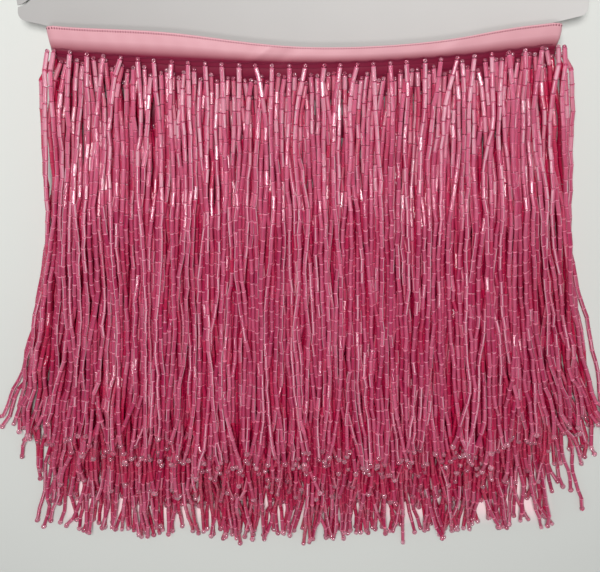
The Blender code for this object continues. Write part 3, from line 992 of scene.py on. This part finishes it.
def ribbon_lift(x, y, share, folds):
    """How far the satin stands proud of a level band, with its ripples and soft folds."""
    lift = sum(a * math.sin(2 * math.pi * x / length + phase + k * y) for a, length, phase, k in RIPPLES)
    for height, at, lean, width in folds:
        off = (x - at - lean * (y - HEADS_Y)) / width
        lift += height * math.exp(-off * off)
    return lift * math.sin(math.pi * min(1.0, share + LIFT_START))


def ribbon_section(station, ribbon, scallop):
    """Points across the ribbon at one station, from its top edge down."""
    top = HEADS_Y + ribbon.above - station.drop - station.top_sag * hump(station.x)
    if station.out_z > 0.0:
        top += sum(most * math.exp(-(((station.x - at) / half) ** 2)) for most, at, half in WIDER)
    heads = edge_y(station, station.x)
    low = heads - ribbon.below
    outermost = station.out_z > 0.0 and station.drop <= FRONT_RUNS[0].drop
    points = []
    for row, share in enumerate(ROW_SHARES):
        y = top + (low - top) * share
        fall = min(1.0, (top - y) / (top - heads))
        off = ribbon_lift(station.x, y, share, FOLDS if outermost else ())
        off -= station.curl * fall**CURL_POWER + FOOT_FALL * max(0.0, heads - y) / ribbon.below
        if row < len(SELVEDGE_LIFTS):
            off += SELVEDGE_LIFTS[row]
        if row == 0:
            y += scallop
        points.append((station.x + station.out_x * off, y, station.z + station.out_z * off))
    return np.array(points)


def shell_faces(count, rows):
    """Faces of a thin shell of two layers, each with so many stations and rows of points."""
    faces = []

    def add_quad(*corners):
        faces.append([(layer * count + i) * rows + row for layer, i, row in corners])

    last, low = count - 1, rows - 1
    for i in range(last):
        for row in range(low):
            add_quad((0, i, row), (0, i, row + 1), (0, i + 1, row + 1), (0, i + 1, row))
            add_quad((1, i, row), (1, i + 1, row), (1, i + 1, row + 1), (1, i, row + 1))
        add_quad((0, i, 0), (0, i + 1, 0), (1, i + 1, 0), (1, i, 0))
        add_quad((0, i, low), (1, i, low), (1, i + 1, low), (0, i + 1, low))
    for row in range(low):
        add_quad((0, 0, row), (1, 0, row), (1, 0, row + 1), (0, 0, row + 1))
        add_quad((0, last, row), (0, last, row + 1), (1, last, row + 1), (1, last, row))
    return faces


def wound_ribbon():
    """The mesh of the ribbon, a thin closed shell, and its length along the heads."""
    ribbon = settings().ribbon
    stations = wound_stations()
    middles, outs = [], []
    for i, station in enumerate(stations):
        middles.append(ribbon_section(station, ribbon, SCALLOP * (i % 2)))
        outs.append((station.out_x, 0.0, station.out_z))
    middles, outs = np.array(middles), np.array(outs)[:, None] * ribbon.thickness / 2
    steps = np.linalg.norm(np.diff(middles[:, HEADS_ROW], axis=0), axis=1)
    along = np.concatenate([[0.0], np.cumsum(steps)])
    points = np.concatenate([middles + outs, middles - outs]).reshape(-1, 3)
    mesh = bpy.data.meshes.new("wound_satin_ribbon")
    mesh.from_pydata(points.tolist(), [], shell_faces(*middles.shape[:2]))
    mesh.shade_smooth()
    across = np.array(ROW_SHARES) * (ribbon.above + ribbon.below)
    # Tones across are drawn together at the sides, where the painted shade is lighter
    paler = 1.0 - SIDE_PALER * (1.0 - hump([station.x for station in stations]))
    spots = np.stack(np.broadcast_arrays(along[:, None], paler[:, None] * across), axis=-1).reshape(-1, 2)
    spots = np.concatenate([spots, spots])
    corners = np.zeros(len(mesh.loops), dtype=np.int32)
    mesh.loops.foreach_get("vertex_index", corners)
    mesh.uv_layers.new(name="along_ribbon").data.foreach_set("uv", spots[corners].ravel())
    # Inner turns are marked for the painted shade of the beads and turns over them
    covered = [float(station.drop > BACK_RUNS[0].drop) for station in stations]
    tucked = mesh.attributes.new("tucked", "FLOAT", "POINT")
    tucked.data.foreach_set("value", np.tile(np.repeat(covered, len(ROW_SHARES)), 2))
    return mesh, float(along[-1])


# Materials

# Stretch of the noise that gives the lines along the cane, and the satin's floats
CANE_STRETCH = (2600.0, 160.0, 2600.0)
FLOAT_STRETCH = (260.0, 7000.0, 1.0)

# Where the ramp of the glass's painted light reaches its pale facets
PAINTED_LIGHT_AT = 0.75
ROUND_GLASS_TONES = ((0.0, (0.80, 0.20, 0.33, 1.0)), (1.0, (1.0, 0.55, 0.66, 1.0)))

# Tones of the satin, as shares of its own colour, and how far down its width they lie; the last is
# painted shade towards the heads
SELVEDGE_TONE, PLAIN_TONE, HEADS_SHADE_TONE = (1.12, 1.12, 1.12), (1.0, 1.0, 1.0), (0.66, 0.46, 0.50)
SATIN_TONES = (
    (0.0, SELVEDGE_TONE),
    (0.07, SELVEDGE_TONE),
    (0.12, PLAIN_TONE),
    (0.34, PLAIN_TONE),
    (0.57, HEADS_SHADE_TONE),
)
# Where the painted shade below the heads begins
PAINTED_SHADE_FROM = 0.72

# The row of needle holes along the selvedge
PICOT_PITCH = 0.0010
PICOT_DOWN = 0.00050
PICOT_HALF = 0.00026
PICOT_OVER = 0.1
PICOT_TONE = (0.3, 0.12, 0.18)

CARD_DIM = (0.95, 0.95, 0.95)
# Painted light: the card darker at the left wing and brighter at the right
CARD_PAINTED_LIGHT = (0.86, 1.22)
FLOOR_DIM = (0.97, 0.97, 0.97)
# The pink light that the glass throws on the floor under it, and how far from the middle it fades
THROWN_LIGHT = (0.95, 0.73, 0.75, 1.0)
THROWN_LIGHT_X = (0.112, 0.100)
THROWN_LIGHT_Y = (0.133, 0.119)
THROWN_LIGHT_FAN = 0.14


def new_material(name):
    """An empty Principled material: (material, tree, shader)."""
    made = bpy.data.materials.new(name)
    made.use_nodes = True
    tree = made.node_tree
    return made, tree, tree.nodes["Principled BSDF"]


def set_socket(tree, socket, value):
    """Sets a socket's value, or links it to another node's output."""
    if isinstance(value, bpy.types.NodeSocket):
        tree.links.new(value, socket)
    else:
        socket.default_value = value


def set_node(tree, node, **values):
    """Sets sockets and properties of a node. An underscore stands for a space in a socket's name."""
    for name, value in values.items():
        label = name.replace("_", " ")
        if label in node.inputs:
            set_socket(tree, node.inputs[label], value)
        else:
            setattr(node, name, value)
    return node


def add_node(tree, kind, **values):
    """A new shader node with these values and links."""
    return set_node(tree, tree.nodes.new(kind), **values)


def add_maths(tree, operation, *values):
    """The result of a maths node over values or other nodes' outputs."""
    node = add_node(tree, "ShaderNodeMath", operation=operation)
    for socket, value in zip(node.inputs, values):
        set_socket(tree, socket, value)
    return node.outputs["Value"]


def add_ramp(tree, place, *stops):
    """The colour at a place along a ramp, through stops of (position, colour)."""
    node = add_node(tree, "ShaderNodeValToRGB", Fac=place)
    ramp = node.color_ramp.elements
    (ramp[0].position, ramp[0].color), *between, (ramp[1].position, ramp[1].color) = stops
    for position, colour in between:
        ramp.new(position).color = colour
    return node.outputs["Color"]


def mix_colours(tree, share, first, second):
    """The first colour, turned towards the second by a share."""
    node = add_node(tree, "ShaderNodeMix", data_type="RGBA", Factor=share, A=first, B=second)
    return node.outputs["Result"]


def toned(colour, tone):
    """A colour with its red, green and blue scaled."""
    return [min(1.0, c * k) for c, k in zip(colour, tone)] + [1.0]


def object_place(tree):
    return add_node(tree, "ShaderNodeTexCoord").outputs["Object"]


def parts_of(tree, vector):
    return add_node(tree, "ShaderNodeSeparateXYZ", Vector=vector).outputs


def stretched(tree, place, scale):
    return add_node(tree, "ShaderNodeMapping", Vector=place, Scale=scale).outputs["Vector"]


def noise(tree, place, **values):
    return add_node(tree, "ShaderNodeTexNoise", Vector=place, **values).outputs["Fac"]


def bump(tree, height, **values):
    return add_node(tree, "ShaderNodeBump", Height=height, **values).outputs["Normal"]


def attribute(tree, name):
    return add_node(tree, "ShaderNodeAttribute", attribute_name=name).outputs["Fac"]


def tone_in_shade(tree, deep, *stops):
    """A bead's colour: the painted light of its sides through the stops, and towards deep in the painted
    shade of others.
    """
    tones = add_ramp(tree, attribute(tree, "tone"), *stops)
    return mix_colours(tree, attribute(tree, "depth"), tones, deep)


def bugle_glass():
    """Drawn pink glass, a little different from bead to bead, with painted reflections and glints on its
    sides, painted shade where other strands cover it, and faint lines along the cane.
    """
    colours = settings().colours
    made, tree, shader = new_material("pink_bugle_glass")
    stops = ((0.0, colours.glass), (PAINTED_LIGHT_AT, colours.glass_painted_light), (1.0, colours.glass_painted_glint))
    tones = tone_in_shade(tree, colours.glass_deep, *stops)
    lines = noise(tree, stretched(tree, object_place(tree), CANE_STRETCH), Detail=2.0)
    set_node(tree, shader, Base_Color=tones, Roughness=0.08, IOR=1.5, Transmission_Weight=0.5)
    set_node(tree, shader, Normal=bump(tree, lines, Strength=0.12, Distance=0.0002))
    return made


def ground_glass():
    """The frosted ends of the bugle beads, bright or dim with painted light, and towards deep in the
    painted shade of others.
    """
    colours = settings().colours
    made, tree, shader = new_material("ground_glass_ends")
    stops = ((0.0, colours.ground_painted_dim), (1.0, colours.ground))
    tones = tone_in_shade(tree, colours.glass_deep, *stops)
    grain = noise(tree, object_place(tree), Scale=9000.0)
    set_node(tree, shader, Base_Color=tones, Roughness=0.5, Transmission_Weight=0.3)
    set_node(tree, shader, Normal=bump(tree, grain, Strength=0.3, Distance=0.0001))
    return made


def round_glass():
    """Clear, faintly pink glass of the round beads, each a little different."""
    made, tree, shader = new_material("clear_round_glass")
    each = add_node(tree, "ShaderNodeNewGeometry").outputs["Random Per Island"]
    set_node(tree, shader, Base_Color=add_ramp(tree, each, *ROUND_GLASS_TONES))
    set_node(tree, shader, Roughness=0.04, IOR=1.5, Transmission_Weight=0.75)
    return made


def thread(name, colour):
    """Twisted thread."""
    made, tree, shader = new_material(name)
    twist = add_node(tree, "ShaderNodeTexWave", Vector=object_place(tree), Scale=900.0, Distortion=1.0)
    normal = bump(tree, twist.outputs["Fac"], Strength=0.4, Distance=0.0001)
    set_node(tree, shader, Base_Color=colour, Normal=normal)
    set_node(tree, shader, Roughness=0.8, Specular_IOR_Level=0.15)
    return made


def needle_holes(tree, along, across):
    """1 in the row of needle holes along the selvedge, and 0 elsewhere."""
    waves = add_maths(tree, "SINE", add_maths(tree, "MULTIPLY", along, 2 * math.pi / PICOT_PITCH))
    hole = add_maths(tree, "GREATER_THAN", waves, PICOT_OVER)
    row = add_maths(tree, "COMPARE", across, PICOT_DOWN, PICOT_HALF)
    return add_maths(tree, "MULTIPLY", hole, row)


def satin():
    """Pink satin: long floats along the ribbon, a paler selvedge with its row of needle holes, and
    painted shade that darkens it towards the heads and on the inner turns."""
    colours, ribbon = settings().colours, settings().ribbon
    made, tree, shader = new_material("pink_satin")
    place = add_node(tree, "ShaderNodeUVMap", uv_map="along_ribbon").outputs["UV"]
    floats = noise(tree, stretched(tree, place, FLOAT_STRETCH), Detail=3.0)
    along, across, _ = parts_of(tree, place)
    down = add_maths(tree, "DIVIDE", across, ribbon.above + ribbon.below)
    tones = [(position, toned(colours.satin, tone)) for position, tone in SATIN_TONES]
    # Painted shade: darker towards the heads, and the tucked colour below them and on the inner turns
    outer = add_ramp(tree, down, *tones, (PAINTED_SHADE_FROM, colours.tucked))
    shaded = mix_colours(tree, attribute(tree, "tucked"), outer, colours.tucked)
    holes = needle_holes(tree, along, across)
    holed = mix_colours(tree, holes, shaded, toned(colours.satin, PICOT_TONE))
    set_node(tree, shader, Base_Color=holed, Roughness=0.45, Specular_IOR_Level=0.3)
    set_node(tree, shader, Sheen_Weight=0.03, Sheen_Roughness=0.4)
    set_node(tree, shader, Normal=bump(tree, floats, Strength=0.25, Distance=0.0001))
    return made


def card_stock():
    """Pale grey card with a soft fibre grain, and painted light that makes it brighter towards the right.
    """
    made, tree, shader = new_material("pale_card")
    place = object_place(tree)
    base = settings().colours.card
    cloud = noise(tree, place, Scale=60.0)
    shade = add_ramp(tree, cloud, (0.0, toned(base, CARD_DIM)), (1.0, base))
    sides = add_node(tree, "ShaderNodeMapRange", Value=parts_of(tree, place)["X"])
    set_node(tree, sides, From_Min=-WING_HALF, From_Max=WING_HALF)
    set_node(tree, sides, To_Min=CARD_PAINTED_LIGHT[0], To_Max=CARD_PAINTED_LIGHT[1])
    lit = add_node(tree, "ShaderNodeVectorMath", operation="SCALE", Vector=shade)
    set_node(tree, lit, Scale=sides.outputs["Result"])
    fibre = noise(tree, place, Scale=2500.0, Detail=4.0)
    set_node(tree, shader, Base_Color=lit.outputs["Vector"], Roughness=0.7)
    set_node(tree, shader, Normal=bump(tree, fibre, Strength=0.15, Distance=0.0001))
    return made


def fade_in(tree, place, dark, lit):
    """How far a place is on the way from dark to lit, from 0 to 1, with a soft start and end."""
    node = add_node(tree, "ShaderNodeMapRange", interpolation_type="SMOOTHSTEP", Value=place)
    return set_node(tree, node, From_Min=dark, From_Max=lit).outputs["Result"]


def floor_paint():
    """Plain pale floor, very slightly uneven, with the pink light that the glass throws on it."""
    made, tree, shader = new_material("pale_floor")
    place = object_place(tree)
    base = settings().stage.floor_colour
    cloud = noise(tree, place, Scale=6.0)
    plain = add_ramp(tree, cloud, (0.0, toned(base, FLOOR_DIM)), (1.0, base))
    away = add_node(tree, "ShaderNodeVectorMath", operation="ABSOLUTE", Vector=place).outputs["Vector"]
    away_x, away_y, _ = parts_of(tree, away)
    fanned = add_maths(tree, "MULTIPLY_ADD", parts_of(tree, place)["Y"], THROWN_LIGHT_FAN, away_x)
    fades = fade_in(tree, fanned, *THROWN_LIGHT_X), fade_in(tree, away_y, *THROWN_LIGHT_Y)
    under = add_maths(tree, "MULTIPLY", *fades)
    set_node(tree, shader, Base_Color=mix_colours(tree, under, plain, THROWN_LIGHT), Roughness=0.55)
    return made


@lru_cache(maxsize=1)
def bead_finishes():
    """The materials of a run's mesh, in the order of the slots."""
    colours = settings().colours
    return (
        bugle_glass(),
        ground_glass(),
        round_glass(),
        thread("strand_thread", colours.thread),
        thread("sewing_thread", colours.sewing),
    )


# Stage

FLOOR_HALF = 3.0
SENSOR_WIDTH = 36.0
CAMERA_CLIP = 0.01
SKY_STRENGTH = 0.75
# The sky's colour from the horizon up
SKY = (
    (0.0, (0.93, 0.96, 1.0, 1.0)),
    (0.45, (0.70, 0.72, 0.75, 1.0)),
    (0.75, (0.18, 0.18, 0.19, 1.0)),
    (1.0, (0.10, 0.10, 0.11, 1.0)),
)
# Each lamp's name, its place, the point that it is aimed at, its size and its power
LAMPS = (
    ("lamp", (-0.03, 0.24, 0.58), (0.0, 0.0, 0.0), (0.2, 0.2), 3.45),
    ("spark", (-0.05, -0.03, 0.9), (0.0, 0.05, 0.0), (0.16, 0.10), 1.7),
)


def add_floor():
    """A wide level floor under the roll."""
    mesh = bpy.data.meshes.new("floor")
    ways = ((-1, -1), (1, -1), (1, 1), (-1, 1))
    corners = [(x * FLOOR_HALF, y * FLOOR_HALF, 0.0) for x, y in ways]
    mesh.from_pydata(corners, [], [(0, 1, 2, 3)])
    mesh.materials.append(floor_paint())
    add_object("floor", mesh)


def add_lamp(name, place, aim, size, power):
    """A rectangular lamp, turned towards its aim."""
    light = bpy.data.lights.new(name, "AREA")
    light.shape = "RECTANGLE"
    light.size, light.size_y = size
    light.energy = power
    lamp = add_object(name, light)
    lamp.location = place
    lamp.rotation_euler = (Vector(aim) - Vector(place)).to_track_quat("-Z", "Y").to_euler()


def add_sky():
    """A soft sky that is brightest at the horizon."""
    world = bpy.data.worlds.new("soft_sky")
    world.use_nodes = True
    tree = world.node_tree
    place = add_node(tree, "ShaderNodeTexCoord").outputs["Generated"]
    colour = add_ramp(tree, parts_of(tree, place)["Z"], *SKY)
    set_node(tree, tree.nodes["Background"], Color=colour, Strength=SKY_STRENGTH)
    bpy.context.scene.world = world


def add_camera():
    """The camera, over the roll and tilted towards the strands' ends."""
    stage = settings().stage
    camera = bpy.data.cameras.new("camera")
    camera.lens = stage.lens
    camera.sensor_width = SENSOR_WIDTH
    camera.clip_start = CAMERA_CLIP
    view = add_object("camera", camera)
    view.location = (stage.camera_x, stage.camera_y, stage.camera_height)
    turned = Euler((-stage.tilt, 0.0, 0.0)).to_matrix() @ Euler((0.0, 0.0, stage.roll)).to_matrix()
    view.rotation_euler = turned.to_euler()
    bpy.context.scene.camera = view


# Operators


class FRINGE_OT_card(bpy.types.Operator):
    """Finish the winding card"""

    bl_idname = "fringe.card"
    bl_label = "Winding card"

    def execute(self, context):
        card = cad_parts["winding_card"]
        card.data.materials.clear()
        card.data.materials.append(card_stock())
        return {"FINISHED"}


class FRINGE_OT_ribbon(bpy.types.Operator):
    """Wind the header ribbon round the card"""

    bl_idname = "fringe.ribbon"
    bl_label = "Header ribbon"

    def execute(self, context):
        mesh, length = wound_ribbon()
        mesh.materials.append(satin())
        ribbon = add_piece(mesh)
        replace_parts(ribbon, "header_ribbon")
        return {"FINISHED"}


class FRINGE_OT_back_fringe(bpy.types.Operator):
    """String the beads of the runs at the back of the card"""

    bl_idname = "fringe.back_fringe"
    bl_label = "Back fringe"

    def execute(self, context):
        for run in BACK_RUNS:
            fringe_run(run)
        return {"FINISHED"}


class FRINGE_OT_front_fringe(bpy.types.Operator):
    """String the beads of the runs at the front of the card"""

    bl_idname = "fringe.front_fringe"
    bl_label = "Front fringe"

    def execute(self, context):
        for run in FRONT_RUNS:
            fringe_run(run)
        return {"FINISHED"}


class FRINGE_OT_stage(bpy.types.Operator):
    """Lay the floor and set the lights and the camera"""

    bl_idname = "fringe.stage"
    bl_label = "Stage"

    def execute(self, context):
        context.scene.view_settings.view_transform = "Standard"
        add_floor()
        for lamp in LAMPS:
            add_lamp(*lamp)
        add_sky()
        add_camera()
        return {"FINISHED"}


class FRINGE_PT_roll(bpy.types.Panel):
    """Settings and steps of the roll"""

    bl_label = "Beaded fringe roll"
    bl_space_type = "VIEW_3D"
    bl_region_type = "UI"
    bl_category = "Fringe"

    def draw(self, context):
        roll = context.scene.fringe_roll
        for group in (roll.beads, roll.ribbon, roll.colours, roll.stage):
            box = self.layout.box()
            for name in group.__annotations__:
                box.prop(group, name)
        for step in STEPS:
            self.layout.operator(step.bl_idname)


GROUPS = (BeadSizes, RibbonSizes, Colours, StageSettings, FringeRoll)
STEPS = (
    FRINGE_OT_card,
    FRINGE_OT_ribbon,
    FRINGE_OT_back_fringe,
    FRINGE_OT_front_fringe,
    FRINGE_OT_stage,
)
CLASSES = GROUPS + STEPS + (FRINGE_PT_roll,)


def register():
    for each in CLASSES:
        bpy.utils.register_class(each)
    bpy.types.Scene.fringe_roll = PointerProperty(type=FringeRoll)


def unregister():
    del bpy.types.Scene.fringe_roll
    for each in reversed(CLASSES):
        bpy.utils.unregister_class(each)


def main():
    """Makes every piece in order."""
    register()
    bpy.ops.fringe.card()
    bpy.ops.fringe.ribbon()
    bpy.ops.fringe.back_fringe()
    bpy.ops.fringe.front_fringe()
    bpy.ops.fringe.stage()


if __name__ == "__main__":
    main()
